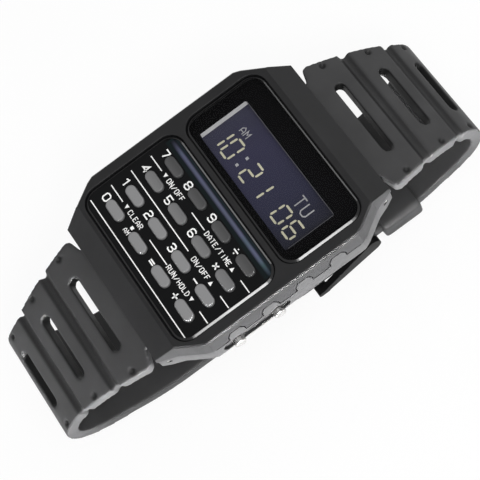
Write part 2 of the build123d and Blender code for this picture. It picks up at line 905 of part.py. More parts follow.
# Module frame with pockets for the battery, chip, crystal and buzzer spring
leaf_x = frame_half_width - notch_depth
with BuildPart() as module_frame:
    extrude(
        window_plan(frame_bottom, frame_half_width, -frame_half_length, frame_half_length, frame_radius),
        amount=board_bottom - frame_bottom,
    )
    with Locations((battery_x, battery_y, frame_bottom)):
        Cylinder(
            battery_radius + pocket_fit,
            board_bottom - frame_bottom,
            align=(Align.CENTER, Align.CENTER, Align.MIN),
            mode=Mode.SUBTRACT,
        )
    with Locations((battery_x, battery_y, frame_bottom)):
        Box(
            2 * (clip_half_width + pocket_fit),
            2 * (clip_half_length + pocket_fit),
            battery_bottom - frame_bottom,
            align=(Align.CENTER, Align.CENTER, Align.MIN),
            mode=Mode.SUBTRACT,
        )
    with Locations((chip_x, chip_y, board_bottom)):
        Cylinder(
            chip_radius + pocket_fit,
            chip_height + pocket_fit,
            align=(Align.CENTER, Align.CENTER, Align.MAX),
            mode=Mode.SUBTRACT,
        )
    with Locations((crystal_x, crystal_y, board_bottom)):
        Box(
            2 * (crystal_radius + pocket_fit),
            crystal_length + 2 * pocket_fit,
            2 * crystal_radius + pocket_fit,
            align=(Align.CENTER, Align.CENTER, Align.MAX),
            mode=Mode.SUBTRACT,
        )
    with Locations((buzzer_spring_x, buzzer_spring_y, frame_bottom)):
        Cylinder(
            buzzer_spring_radius + buzzer_spring_wire + pocket_fit,
            board_bottom - frame_bottom,
            align=(Align.CENTER, Align.CENTER, Align.MIN),
            mode=Mode.SUBTRACT,
        )
    with Locations(*[(frame_half_width, y, frame_bottom) for y in pusher_y]):
        Box(
            2 * notch_depth,
            notch_length,
            board_bottom - frame_bottom,
            align=(Align.CENTER, Align.CENTER, Align.MIN),
            mode=Mode.SUBTRACT,
        )
    with Locations(Plane.XY.offset(frame_bottom)):
        with GridLocations(2 * module_screw_x, 2 * module_screw_y, 2, 2):
            Cylinder(
                module_screw_radius + module_screw_fit,
                board_bottom - frame_bottom,
                align=(Align.CENTER, Align.CENTER, Align.MIN),
                mode=Mode.SUBTRACT,
            )
            Cylinder(
                module_screw_head_radius + module_screw_fit,
                module_screw_head_height,
                align=(Align.CENTER, Align.CENTER, Align.MIN),
                mode=Mode.SUBTRACT,
            )
module_frame.part.label = "module_frame"
export_step(module_frame.part, "parts/module_frame.step")

# Module screws, heads down in the frame and tips through the board
with BuildPart() as module_screws:
    with Locations(Plane.XY.offset(frame_bottom)):
        with GridLocations(2 * module_screw_x, 2 * module_screw_y, 2, 2):
            Cylinder(
                module_screw_radius, module_screw_length, align=(Align.CENTER, Align.CENTER, Align.MIN)
            )
            Cylinder(
                module_screw_head_radius,
                module_screw_head_height,
                align=(Align.CENTER, Align.CENTER, Align.MIN),
            )
            Box(
                2 * module_screw_head_radius,
                screw_slot_width / 2,
                screw_slot_depth / 2,
                align=(Align.CENTER, Align.CENTER, Align.MIN),
                mode=Mode.SUBTRACT,
            )
module_screws.part.label = "module_screws"
export_step(module_screws.part, "parts/module_screws.step")

# Battery: a coin cell with a stepped rim
with BuildPart() as battery:
    with Locations((battery_x, battery_y, battery_bottom)):
        Cylinder(
            battery_radius, battery_height - battery_rim, align=(Align.CENTER, Align.CENTER, Align.MIN)
        )
        Cylinder(
            battery_radius - 2 * battery_rim, battery_height, align=(Align.CENTER, Align.CENTER, Align.MIN)
        )
battery.part.label = "battery"
export_step(battery.part, "parts/battery.step")

# Battery clip: a steel strap across the battery's lower face
with BuildPart() as battery_clip:
    with BuildSketch(Plane.XY.offset(battery_bottom - clip_gap)):
        with Locations((battery_x, battery_y)):
            SlotOverall(2 * clip_half_width, 2 * clip_half_length)
    extrude(amount=-clip_thickness)
battery_clip.part.label = "battery_clip"
export_step(battery_clip.part, "parts/battery_clip.step")

# Battery contact: a sprung strip between the battery and the board
battery_top = battery_bottom + battery_height
with BuildPart() as battery_contact:
    with BuildSketch(Plane.YZ):
        with BuildLine():
            Polyline(
                (battery_y - contact_length / 2, board_bottom),
                (battery_y + contact_length / 2, battery_top + contact_thickness),
                (battery_y + contact_length / 2, battery_top),
                (battery_y, battery_top),
                (battery_y - contact_length / 2, board_bottom - contact_thickness),
                close=True,
            )
        make_face()
    extrude(amount=contact_width / 2, both=True)
battery_contact.part.label = "battery_contact"
export_step(battery_contact.part, "parts/battery_contact.step")

# Buzzer: a brass disc with its ceramic, glued inside the case back
with BuildPart() as buzzer_disc:
    with Locations((buzzer_x, buzzer_y, back_thickness)):
        Cylinder(buzzer_radius, buzzer_thickness, align=(Align.CENTER, Align.CENTER, Align.MIN))
        Cylinder(
            buzzer_crystal_radius,
            buzzer_thickness + buzzer_crystal_thickness,
            align=(Align.CENTER, Align.CENTER, Align.MIN),
        )
buzzer_disc.part.label = "buzzer_disc"
export_step(buzzer_disc.part, "parts/buzzer_disc.step")

# Buzzer spring: a coil from the board down to the disc
buzzer_spring_start = back_thickness + buzzer_thickness
buzzer_spring_length = board_bottom - buzzer_spring_start - buzzer_spring_wire
with BuildPart() as buzzer_spring:
    foot = (buzzer_spring_x, buzzer_spring_y, buzzer_spring_start + buzzer_spring_wire / 2)
    with BuildLine() as buzzer_coil:
        Helix(
            pitch=buzzer_spring_length / buzzer_spring_turns,
            height=buzzer_spring_length,
            radius=buzzer_spring_radius,
            center=foot,
        )
    with BuildSketch(Plane(origin=buzzer_coil.line @ 0, z_dir=buzzer_coil.line % 0)):
        Circle(buzzer_spring_wire / 2)
    sweep(path=buzzer_coil.line, is_frenet=True)
buzzer_spring.part.label = "buzzer_spring"
export_step(buzzer_spring.part, "parts/buzzer_spring.step")

# Case back: a steel plate with countersunk places for its screws
with BuildPart() as case_back:
    extrude(case_plan(0, back_inset, back_reach), amount=back_thickness)
    chamfer(case_back.edges().group_by(Axis.Z)[0], length=back_edge)
    with BuildSketch(Plane.XY):
        with GridLocations(2 * case_screw_x, 2 * case_screw_y, 2, 2):
            Circle(case_screw_radius + case_screw_fit)
    extrude(amount=back_thickness, mode=Mode.SUBTRACT)
    with BuildSketch(Plane.XY):
        with GridLocations(2 * case_screw_x, 2 * case_screw_y, 2, 2):
            Circle(case_screw_head_radius + case_screw_fit)
    extrude(amount=case_screw_head_height, mode=Mode.SUBTRACT)
case_back.part.label = "case_back"
export_step(case_back.part, "parts/case_back.step")

# Case screws, with cross recesses
with BuildPart() as case_screws:
    with GridLocations(2 * case_screw_x, 2 * case_screw_y, 2, 2):
        Cylinder(case_screw_radius, case_screw_length, align=(Align.CENTER, Align.CENTER, Align.MIN))
        Cylinder(
            case_screw_head_radius, case_screw_head_height, align=(Align.CENTER, Align.CENTER, Align.MIN)
        )
        for length, width in (
            (case_screw_head_radius, screw_slot_width),
            (screw_slot_width, case_screw_head_radius),
        ):
            Box(
                length,
                width,
                screw_slot_depth,
                align=(Align.CENTER, Align.CENTER, Align.MIN),
                mode=Mode.SUBTRACT,
            )
case_screws.part.label = "case_screws"
export_step(case_screws.part, "parts/case_screws.step")

# Back gasket, a rubber ring in the body's groove
with BuildPart() as back_gasket:
    with BuildSketch(Plane.XY.offset(back_thickness)):
        RectangleRounded(
            2 * (cavity_half_width + gasket_wall + gasket_width),
            2 * (cavity_half_length + gasket_wall + gasket_width),
            cavity_radius + gasket_wall + gasket_width,
        )
        RectangleRounded(
            2 * (cavity_half_width + gasket_wall),
            2 * (cavity_half_length + gasket_wall),
            cavity_radius + gasket_wall,
            mode=Mode.SUBTRACT,
        )
    extrude(amount=gasket_height)
back_gasket.part.label = "back_gasket"
export_step(back_gasket.part, "parts/back_gasket.step")

# Pushers: a head outside, a thin shaft through the wall and a neck for the retaining clip
neck_end_x = cavity_half_width - retainer_gap
neck_start_x = neck_end_x - pusher_neck_length
shaft_end_x = neck_start_x - pusher_tail
head_start_x = pusher_floor_x - pusher_head_depth
head_end_x = pusher_floor_x + pusher_stand
for name, y in zip(pusher_names, pusher_y):
    with BuildPart() as pusher:
        extrude(side_disc(head_start_x, y, pusher_z, pusher_radius), amount=head_end_x - head_start_x)
        fillet(pusher.edges().group_by(Axis.X)[-1], radius=pusher_edge)
        extrude(
            side_disc(neck_end_x, y, pusher_z, pusher_shaft_radius), amount=head_start_x - neck_end_x
        )
        extrude(side_disc(neck_start_x, y, pusher_z, pusher_neck_radius), amount=pusher_neck_length)
        extrude(side_disc(shaft_end_x, y, pusher_z, pusher_shaft_radius), amount=pusher_tail)
    pusher.part.label = f"pusher_{name}"
    export_step(pusher.part, f"parts/pusher_{name}.step")

    clip_x = neck_start_x + (pusher_neck_length - retainer_thickness) / 2
    with BuildPart() as pusher_clip:
        with BuildSketch(Plane.YZ.offset(clip_x)):
            with Locations((y, pusher_z)):
                Circle(retainer_radius)
                Circle(pusher_neck_radius + retainer_fit, mode=Mode.SUBTRACT)
            with Locations((y, pusher_z - retainer_radius)):
                Rectangle(retainer_mouth, 2 * (retainer_radius - pusher_neck_radius), mode=Mode.SUBTRACT)
        extrude(amount=retainer_thickness)
    pusher_clip.part.label = f"pusher_{name}_clip"
    export_step(pusher_clip.part, f"parts/pusher_{name}_clip.step")

    spring_length = head_start_x - pusher_well_x - pusher_spring_wire
    with BuildPart() as pusher_spring:
        foot = (pusher_well_x + pusher_spring_wire / 2, y, pusher_z)
        with BuildLine() as pusher_coil:
            Helix(
                pitch=spring_length / pusher_spring_turns,
                height=spring_length,
                radius=pusher_spring_radius,
                center=foot,
                direction=(1, 0, 0),
            )
        with BuildSketch(Plane(origin=pusher_coil.line @ 0, z_dir=pusher_coil.line % 0)):
            Circle(pusher_spring_wire / 2)
        sweep(path=pusher_coil.line, is_frenet=True)
    pusher_spring.part.label = f"pusher_{name}_spring"
    export_step(pusher_spring.part, f"parts/pusher_{name}_spring.step")

# Pusher seals: an O-ring round each shaft
seal_ring_radius = pusher_shaft_radius + seal_fit + seal_wire_radius
with BuildPart() as pusher_seals:
    for y in pusher_y:
        with Locations(Plane(origin=(pusher_well_x - seal_pocket_depth / 2, y, pusher_z), z_dir=(1, 0, 0))):
            Torus(seal_ring_radius, seal_wire_radius)
pusher_seals.part.label = "pusher_seals"
export_step(pusher_seals.part, "parts/pusher_seals.step")

# Leaf contacts at the bottom of the frame's two notches
with BuildPart() as switch_springs:
    with Locations(*[(leaf_x, y, pusher_z) for y in pusher_y]):
        Box(leaf_thickness, leaf_length, leaf_height, align=(Align.MIN, Align.CENTER, Align.CENTER))
switch_springs.part.label = "switch_springs"
export_step(switch_springs.part, "parts/switch_springs.step")

# Spring bars: a tube between the lugs with a thin tip in each lug hole
for hour, side in (("12", 1), ("6", -1)):
    with BuildPart() as spring_bar:
        extrude(side_disc(0, bar_y * side, bar_z, bar_radius), amount=lug_inner_x - bar_end_gap, both=True)
        extrude(side_disc(0, bar_y * side, bar_z, bar_tip_radius), amount=bar_tip_reach, both=True)
    spring_bar.part.label = f"spring_bar_{hour}"
    export_step(spring_bar.part, f"parts/spring_bar_{hour}.step")

# Paths of the two strap halves
tail_level = strap_bottom_z - tail_drop
upper_level = tail_level + strap_thickness + layer_gap
curve_12 = (*bends_12, (bend_radius_to(bends_12, upper_level), last_bend))
level_start_y = path_end(curve_12)[0][0]
steps_12 = (*curve_12, (level_start_y - buckle_bar_y, 0))
curve_6 = (*bends_6, (bend_radius_to(bends_6, strap_bottom_z), last_bend))
step_turn = math.degrees(math.acos(1 - tail_drop / (2 * step_radius)))
step_length = 2 * step_radius * math.sin(math.radians(step_turn))
step_6 = (
    *curve_6,
    (path_end(curve_6)[0][0] + step_end_y - step_length, 0),
    (step_radius, step_turn),
    (step_radius, -step_turn),
)
steps_6 = (*step_6, (tail_end_y - step_end_y, 0))
buckle_bar_z = upper_level + buckle_eye_gap + buckle_eye_radius

# 12 o'clock half: carries the buckle at its end
with BuildPart() as strap_12:
    extrude(band_profile(steps_12, 1), amount=case_half_width, both=True)
    extrude(root_profile(steps_12, 1), amount=case_half_width, both=True)
    extrude(
        side_disc(0, buckle_bar_y, buckle_bar_z, buckle_eye_radius), amount=tail_half_width, both=True
    )
    add(strap_bounds(bends_12, 1, buckle_bar_y - 2 * buckle_eye_radius, 0), mode=Mode.INTERSECT)
    for y, z, radius in (
        (bar_y, bar_z, bar_radius + eye_fit),
        (buckle_bar_y, buckle_bar_z, buckle_bar_radius + buckle_bar_fit),
    ):
        extrude(side_disc(0, y, z, radius), amount=case_half_width, both=True, mode=Mode.SUBTRACT)
    add(rib_cutters(steps_12, 1, last_pitch_12), mode=Mode.SUBTRACT)
    with BuildSketch(Plane.XY.offset(buckle_bar_z)):
        with Locations((0, buckle_bar_y - buckle_eye_radius)):
            Rectangle(tongue_width + 2 * tongue_side_gap, 2 * tongue_slot_length)
    extrude(amount=strap_thickness, both=True, mode=Mode.SUBTRACT)
strap_12.part.label = "strap_12"
export_step(strap_12.part, "parts/strap_12.step")

# 6 o'clock half: the long one, with the adjusting holes
tongue_hole_distance = path_length(step_6) + tongue_hole_y - step_end_y
with BuildPart() as strap_6:
    extrude(band_profile(steps_6, -1), amount=case_half_width, both=True)
    extrude(root_profile(steps_6, -1), amount=case_half_width, both=True)
    add(strap_bounds(bends_6, -1, -tail_end_y, tail_corner_radius), mode=Mode.INTERSECT)
    extrude(
        side_disc(0, -bar_y, bar_z, bar_radius + eye_fit),
        amount=case_half_width,
        both=True,
        mode=Mode.SUBTRACT,
    )
    add(rib_cutters(steps_6, -1, last_pitch_6), mode=Mode.SUBTRACT)
    for number in range(hole_count):
        hole_face = path_plane(steps_6, tongue_hole_distance - number * hole_pitch, -1)
        with BuildSketch(hole_face.offset(overrun)):
            SlotOverall(hole_length, hole_width, rotation=quarter_turn)
        extrude(amount=-strap_thickness - 2 * overrun, mode=Mode.SUBTRACT)
strap_6.part.label = "strap_6"
export_step(strap_6.part, "parts/strap_6.step")

# Buckle frame: two tapered arms on the bar and a rail with a notch for the tongue
rail_top = tail_level - rail_gap
rail_z = rail_top - rail_thickness / 2
arm_start_x = tail_half_width + buckle_arm_gap
with BuildPart() as buckle_frame:
    with BuildSketch(Plane.YZ.offset(arm_start_x)) as arm:
        with Locations((buckle_bar_y, buckle_bar_z - buckle_ear_drop)):
            Circle(buckle_ear_radius)
        with Locations((rail_y, rail_z)):
            Circle(rail_thickness / 2)
        make_hull()
    extrude(amount=buckle_arm_width)
    mirror(about=Plane.YZ)
    with BuildSketch(Plane.YZ):
        with Locations((rail_y, rail_z)):
            RectangleRounded(rail_width, rail_thickness, rail_round)
    extrude(amount=arm_start_x + buckle_arm_width, both=True)
    extrude(
        side_disc(0, buckle_bar_y, buckle_bar_z, buckle_bar_radius + bar_seat_fit),
        amount=arm_start_x + bar_seat_depth,
        both=True,
        mode=Mode.SUBTRACT,
    )
    with Locations((0, rail_y, rail_z - rail_thickness / 2)):
        Box(
            tongue_width + 2 * tongue_notch_gap,
            2 * rail_width,
            tongue_thickness + tongue_seat_gap,
            align=(Align.CENTER, Align.CENTER, Align.MIN),
            mode=Mode.SUBTRACT,
        )
buckle_frame.part.label = "buckle_frame"
export_step(buckle_frame.part, "parts/buckle_frame.step")

# Buckle bar, held by its ends in the arms
with BuildPart() as buckle_bar:
    extrude(
        side_disc(0, buckle_bar_y, buckle_bar_z, buckle_bar_radius),
        amount=arm_start_x + bar_seat_depth - bar_seat_fit,
        both=True,
    )
buckle_bar.part.label = "buckle_bar"
export_step(buckle_bar.part, "parts/buckle_bar.step")

# Buckle tongue: an eye on the bar and a cranked strip through the strap's hole onto the rail
tongue_z = rail_z - rail_thickness / 2 + tongue_thickness / 2
with BuildPart() as buckle_tongue:
    with BuildSketch(Plane.YZ):
        with BuildLine() as tongue_path:
            Polyline(
                (buckle_bar_y, buckle_bar_z),
                (tongue_hole_y, tail_level + strap_thickness + tongue_thickness / 2),
                (tongue_hole_y - tongue_lean, tail_level),
                (tongue_hole_y - tongue_foot, tongue_z),
                (rail_y - rail_width / 2 - tongue_overhang, tongue_z),
            )
        trace(line_width=tongue_thickness)
        with Locations((buckle_bar_y, buckle_bar_z)):
            Circle(tongue_eye_radius)
            Circle(buckle_bar_radius + buckle_bar_fit, mode=Mode.SUBTRACT)
    extrude(amount=tongue_width / 2, both=True)
buckle_tongue.part.label = "buckle_tongue"
export_step(buckle_tongue.part, "parts/buckle_tongue.step")

# Keeper: a straight sleeve on the 12 o'clock half, where the strap starts to bend up
keeper_end_y = keeper_start_y + keeper_length
strap_climb = path_climb(curve_12, keeper_end_y)
keeper_low_z = upper_level - keeper_gap
keeper_high_z = upper_level + strap_thickness + strap_climb + keeper_gap
keeper_half_width = tail_half_width + keeper_side_gap
with BuildPart() as keeper:
    with Locations((0, keeper_start_y, (keeper_low_z + keeper_high_z) / 2)):
        Box(
            2 * (keeper_half_width + keeper_wall),
            keeper_length,
            keeper_high_z - keeper_low_z + 2 * keeper_wall,
            align=(Align.CENTER, Align.MIN, Align.CENTER),
        )
        fillet(keeper.edges().filter_by(Axis.Y), radius=keeper_corner)
        Box(
            2 * keeper_half_width,
            keeper_length,
            keeper_high_z - keeper_low_z,
            align=(Align.CENTER, Align.MIN, Align.CENTER),
            mode=Mode.SUBTRACT,
        )
    for end in (Axis.Y, -Axis.Y):
        outer_rim = keeper.faces().sort_by(end)[-1].outer_wire().edges()
        fillet(outer_rim, radius=keeper_edge)
keeper.part.label = "keeper"
export_step(keeper.part, "parts/keeper.step")
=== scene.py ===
"""Calculator watch on its buckled strap: finishes, printed marks, display segments, light and camera.

The CAD frame has +Z out of the face, +Y to 12 o'clock and +X to 3 o'clock. Places and sizes are written in
millimetres, and become metres where a mesh, a lamp or the camera is made.
"""
import math

import bmesh
import bpy
import numpy as np
from mathutils import Matrix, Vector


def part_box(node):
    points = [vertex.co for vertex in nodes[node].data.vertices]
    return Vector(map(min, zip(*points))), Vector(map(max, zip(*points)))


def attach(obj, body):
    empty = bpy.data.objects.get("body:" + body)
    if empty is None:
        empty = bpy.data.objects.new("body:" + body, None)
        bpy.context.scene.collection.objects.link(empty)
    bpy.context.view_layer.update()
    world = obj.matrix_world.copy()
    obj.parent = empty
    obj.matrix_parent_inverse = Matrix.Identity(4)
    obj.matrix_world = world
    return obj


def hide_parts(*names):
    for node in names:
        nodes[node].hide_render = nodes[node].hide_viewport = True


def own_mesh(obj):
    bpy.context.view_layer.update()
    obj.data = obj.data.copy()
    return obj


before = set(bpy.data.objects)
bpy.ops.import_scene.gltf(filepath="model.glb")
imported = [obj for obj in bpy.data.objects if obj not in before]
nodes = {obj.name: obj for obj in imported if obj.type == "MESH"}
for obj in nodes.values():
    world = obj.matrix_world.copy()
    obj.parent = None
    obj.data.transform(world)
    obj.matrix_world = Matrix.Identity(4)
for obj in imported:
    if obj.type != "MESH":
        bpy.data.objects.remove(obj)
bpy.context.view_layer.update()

MM = 0.001


# Finishes

def grey(amount):
    """A neutral colour."""
    return (amount, amount, amount)


def tint(colour, amount):
    """A colour times an amount."""
    return tuple(min(1.0, c * amount) for c in colour)


class Finish:
    """A material with one Principled shader, and short calls for the nodes that feed it."""

    def __init__(self, name):
        self.material = bpy.data.materials.new(name)
        self.material.use_nodes = True
        self.tree = self.material.node_tree
        self.shader = self.tree.nodes["Principled BSDF"]
        self.place = self.tree.nodes.new("ShaderNodeTexCoord").outputs["Object"]

    def node(self, kind, **values):
        """A new node. Each value goes to its property of that name, or else to its socket."""
        made = self.tree.nodes.new(kind)
        for key, value in values.items():
            if hasattr(made, key):
                setattr(made, key, value)
            else:
                made.inputs[key].default_value = value
        return made

    def link(self, output, target):
        self.tree.links.new(output, target)

    def set(self, **values):
        """Plain values on the shader's own sockets; an underscore stands for a space."""
        for key, value in values.items():
            self.shader.inputs[key.replace("_", " ")].default_value = value

    def noise(self, size, detail=3.0, rough=0.5, stretch=(1.0, 1.0, 1.0)):
        """Noise whose grains are about a size across, in millimetres."""
        mapping = self.node("ShaderNodeMapping", Scale=stretch)
        self.link(self.place, mapping.inputs["Vector"])
        grain = self.node("ShaderNodeTexNoise", Scale=1.0 / (size * MM), Detail=detail, Roughness=rough)
        self.link(mapping.outputs["Vector"], grain.inputs["Vector"])
        return grain.outputs["Fac"]

    def ramp(self, factor, *stops):
        """Colour ramp of (position, colour) stops."""
        made = self.node("ShaderNodeValToRGB")
        band = made.color_ramp
        while len(band.elements) < len(stops):
            band.elements.new(0.5)
        for element, (position, colour) in zip(band.elements, stops):
            element.position = position
            element.color = (*colour, 1.0)
        self.link(factor, made.inputs["Fac"])
        return made.outputs["Color"]

    def spread(self, value, low, high, start=0.3, end=0.7):
        """A value from start to end, spread over low to high."""
        made = self.node("ShaderNodeMapRange")
        made.inputs["From Min"].default_value = start
        made.inputs["From Max"].default_value = end
        made.inputs["To Min"].default_value = low
        made.inputs["To Max"].default_value = high
        self.link(value, made.inputs["Value"])
        return made.outputs["Result"]

    def along(self, axis, start, end):
        """0 to 1 from a start to an end, in millimetres, along an axis of the part."""
        parts = self.node("ShaderNodeSeparateXYZ")
        self.link(self.place, parts.inputs["Vector"])
        return self.spread(parts.outputs[axis], 0.0, 1.0, start * MM, end * MM)

    def bump(self, height, depth, strength=1.0):
        """Relief of a depth in millimetres; a second call lies on top of the first."""
        made = self.node("ShaderNodeBump", Strength=strength, Distance=depth * MM)
        self.link(height, made.inputs["Height"])
        if self.shader.inputs["Normal"].is_linked:
            self.link(self.shader.inputs["Normal"].links[0].from_socket, made.inputs["Normal"])
        self.link(made.outputs["Normal"], self.shader.inputs["Normal"])

    def soften(self, radius):
        """Shades the edges as if rounded to a radius in millimetres. Returns 1 on flats, less on edges."""
        edge = self.node("ShaderNodeBevel", samples=6, Radius=radius * MM)
        self.link(edge.outputs["Normal"], self.shader.inputs["Normal"])
        flat = self.node("ShaderNodeVectorMath", operation="DOT_PRODUCT")
        self.link(edge.outputs["Normal"], flat.inputs[0])
        self.link(self.node("ShaderNodeNewGeometry").outputs["True Normal"], flat.inputs[1])
        return flat.outputs["Value"]

    def hollows(self, reach):
        """1 in the open, less in slots and corners closer than a reach in millimetres."""
        shade = self.node("ShaderNodeAmbientOcclusion", samples=6, only_local=True, Distance=reach * MM)
        return shade.outputs["AO"]

    def multiply(self, first, second):
        made = self.node("ShaderNodeVectorMath", operation="MULTIPLY")
        self.link(first, made.inputs[0])
        self.link(second, made.inputs[1])
        return made.outputs["Vector"]

    def colour(self, output):
        self.link(output, self.shader.inputs["Base Color"])

    def roughness(self, output):
        self.link(output, self.shader.inputs["Roughness"])


def moulded(name, colour, rough, grain, depth, shine, edge=0.0, painted_shade_reach=0.0, dark=0.4):
    """Moulded resin: a fine even grain with a coarser one on it, slow blotches in the colour and rubbed
    patches in the gloss. It may have edges rounded to a radius, with the flats darker than they are, and
    painted shade in hollows, which takes the colour to a dark share within a reach. All lengths are in
    millimetres."""
    made = Finish(name)
    made.set(Specular_IOR_Level=shine)
    blotch = made.noise(size=6.0, detail=4.0)
    tone = made.ramp(blotch, (0.3, tint(colour, 0.88)), (0.5, colour), (0.72, tint(colour, 1.14)))
    if edge:
        flat = made.spread(made.soften(edge), 0.0, 1.0, 0.80, 0.97)
        tone = made.multiply(tone, made.ramp(flat, (0.0, grey(1.0)), (1.0, grey(0.72))))
    if painted_shade_reach:
        # Painted shade: the colour goes darker in slots, grooves and gaps, where shade falls.
        tone = made.multiply(tone, made.ramp(made.hollows(painted_shade_reach), (0.72, grey(dark)), (0.98, grey(1.0))))
    made.colour(tone)
    made.roughness(made.spread(made.noise(size=2.2, detail=5.0), rough - 0.06, rough + 0.07))
    made.bump(made.noise(grain, detail=2.0), depth, 0.5)
    made.bump(made.noise(grain * 9), depth * 2.5, 0.25)
    return made.material


def brushed(name, colour, rough, along):
    """Brushed metal: noise stretched along one axis in the gloss, the colour and the relief."""
    made = Finish(name)
    made.set(Metallic=1.0)
    stretch = tuple(0.04 if axis == along else 1.0 for axis in ("X", "Y", "Z"))
    lines = made.noise(size=0.09, detail=4.0, rough=0.6, stretch=stretch)
    made.colour(made.ramp(lines, (0.25, tint(colour, 0.82)), (0.75, tint(colour, 1.1))))
    made.roughness(made.spread(lines, rough - 0.08, rough + 0.1))
    made.bump(lines, depth=0.004, strength=0.6)
    return made.material


def gloss(name, colour, rough, shine, speck=0.6):
    """Gloss lacquer or print: nearly even colour with a faint orange peel, its specks in millimetres."""
    made = Finish(name)
    made.set(Specular_IOR_Level=shine)
    made.colour(made.ramp(made.noise(speck * 8), (0.3, tint(colour, 0.9)), (0.7, tint(colour, 1.1))))
    made.roughness(made.spread(made.noise(speck * 3, detail=4.0), rough * 0.8, rough * 1.25))
    made.bump(made.noise(speck, detail=1.0), depth=0.001, strength=0.3)
    return made.material


# The hollow darkening in these resins is painted shade in slots, grooves and the gaps between parts.
resin_bezel = moulded("resin_bezel", (0.023, 0.023, 0.024), rough=0.42, grain=0.12, depth=0.003, shine=0.25,
                      edge=0.25, painted_shade_reach=1.2, dark=0.5)
# Painted light: the body's black is lighter than the bezel's, so that its sides read brighter.
resin_body = moulded("resin_body", (0.048, 0.048, 0.049), rough=0.46, grain=0.13, depth=0.003, shine=0.25,
                     edge=0.3, painted_shade_reach=1.2, dark=0.5)
resin_strap = moulded("resin_strap", (0.042, 0.042, 0.043), rough=0.5, grain=0.10, depth=0.004, shine=0.3,
                      painted_shade_reach=3.0, dark=0.08)
resin_keeper = moulded("resin_keeper", (0.038, 0.038, 0.039), rough=0.5, grain=0.10, depth=0.004, shine=0.3,
                       painted_shade_reach=2.0, dark=0.5)
buckle_black = moulded("buckle_black", (0.006, 0.006, 0.0065), rough=0.42, grain=0.10, depth=0.003,
                       shine=0.15, edge=0.2)
rubber_seal = moulded("rubber_seal", (0.015, 0.015, 0.016), rough=0.7, grain=0.08, depth=0.003, shine=0.3)
rubber_grey = moulded("rubber_grey", (0.20, 0.20, 0.21), rough=0.65, grain=0.08, depth=0.003, shine=0.3)
frame_black = moulded("frame_black", (0.012, 0.012, 0.013), rough=0.5, grain=0.1, depth=0.004, shine=0.35)
spacer_white = moulded("spacer_white", (0.55, 0.55, 0.50), rough=0.5, grain=0.1, depth=0.003, shine=0.4)

panel_black_colour = (0.0050, 0.0052, 0.0056)
panel_black = gloss("panel_black", panel_black_colour, rough=0.16, shine=0.12)
rim_black = gloss("rim_black", (0.006, 0.006, 0.0065), rough=0.14, shine=0.6)
# This black is both the print under the glass and the painted shade in the case seams.
print_and_seam_shade_black = gloss("print_and_seam_shade_black", (0.0045, 0.0045, 0.0048), rough=0.6, shine=0.0, speck=2.0)
mask_black = gloss("mask_black", (0.0035, 0.0035, 0.0042), rough=0.35, shine=0.08)
epoxy_black = gloss("epoxy_black", (0.010, 0.010, 0.011), rough=0.2, shine=0.5)
print_white = gloss("print_white", (0.88, 0.88, 0.87), rough=0.45, shine=0.3)
# Painted highlight: the white of the strip on the display opening's 9 o'clock edge.
painted_edge_highlight = gloss("painted_edge_highlight", (0.90, 0.90, 0.91), rough=0.3, shine=0.5)
segment_ink = gloss("segment_ink", (0.86, 0.83, 0.62), rough=0.5, shine=0.2)
fine_segment_ink = gloss("fine_segment_ink", (0.62, 0.62, 0.64), rough=0.5, shine=0.2)
# Painted highlight: the pale grey of the thin line on two sides of the display opening.
painted_line_highlight = gloss("painted_line_highlight", (0.16, 0.16, 0.18), rough=0.4, shine=0.3)

steel_plain = brushed("steel_plain", (0.62, 0.61, 0.60), rough=0.32, along="X")
steel_back = brushed("steel_back", (0.56, 0.55, 0.54), rough=0.36, along="Y")
steel_pusher = brushed("steel_pusher", (0.66, 0.65, 0.64), rough=0.28, along="X")
brass_disc = brushed("brass_disc", (0.72, 0.52, 0.22), rough=0.34, along="Y")


def keycap_finish():
    """Satin grey caps with a fine spark-eroded grain, and painted shade that darkens them towards the row
    nearest the display.
    """
    made = Finish("keycap_grey")
    made.set(Specular_IOR_Level=0.4)
    made.soften(0.35)
    # Painted shade: the caps' colour darkens from the bottom row to the row nearest the display.
    up = made.along("Y", -9.0, -2.0)
    made.colour(made.ramp(up, (0.0, (0.23, 0.23, 0.233)), (1.0, (0.056, 0.056, 0.057))))
    made.roughness(made.spread(made.noise(size=0.8, detail=4.0), 0.36, 0.48))
    made.bump(made.noise(size=0.09, detail=2.0), depth=0.004, strength=0.5)
    return made.material


def board_finish():
    """Green solder mask with darker copper runs under it, from a square cell pattern."""
    made = Finish("board_green")
    cells = made.node("ShaderNodeTexVoronoi", feature="DISTANCE_TO_EDGE", distance="MANHATTAN",
                      Scale=1.0 / (1.4 * MM))
    made.link(made.place, cells.inputs["Vector"])
    runs = cells.outputs["Distance"]
    made.colour(made.ramp(runs, (0.05, (0.03, 0.17, 0.07)), (0.12, (0.012, 0.085, 0.035))))
    made.roughness(made.spread(made.noise(size=1.0), 0.25, 0.4))
    made.bump(runs, depth=0.01, strength=0.3)
    return made.material


def elastomer_finish():
    """Layered elastomer: thin dark and light layers along the strip."""
    made = Finish("elastomer_layers")
    waves = made.node("ShaderNodeTexWave", wave_type="BANDS", bands_direction="X", Scale=1.0 / (0.6 * MM))
    made.link(made.place, waves.inputs["Vector"])
    made.colour(made.ramp(waves.outputs["Fac"], (0.45, (0.05, 0.04, 0.04)), (0.55, (0.55, 0.42, 0.38))))
    made.set(Roughness=0.6)
    return made.material


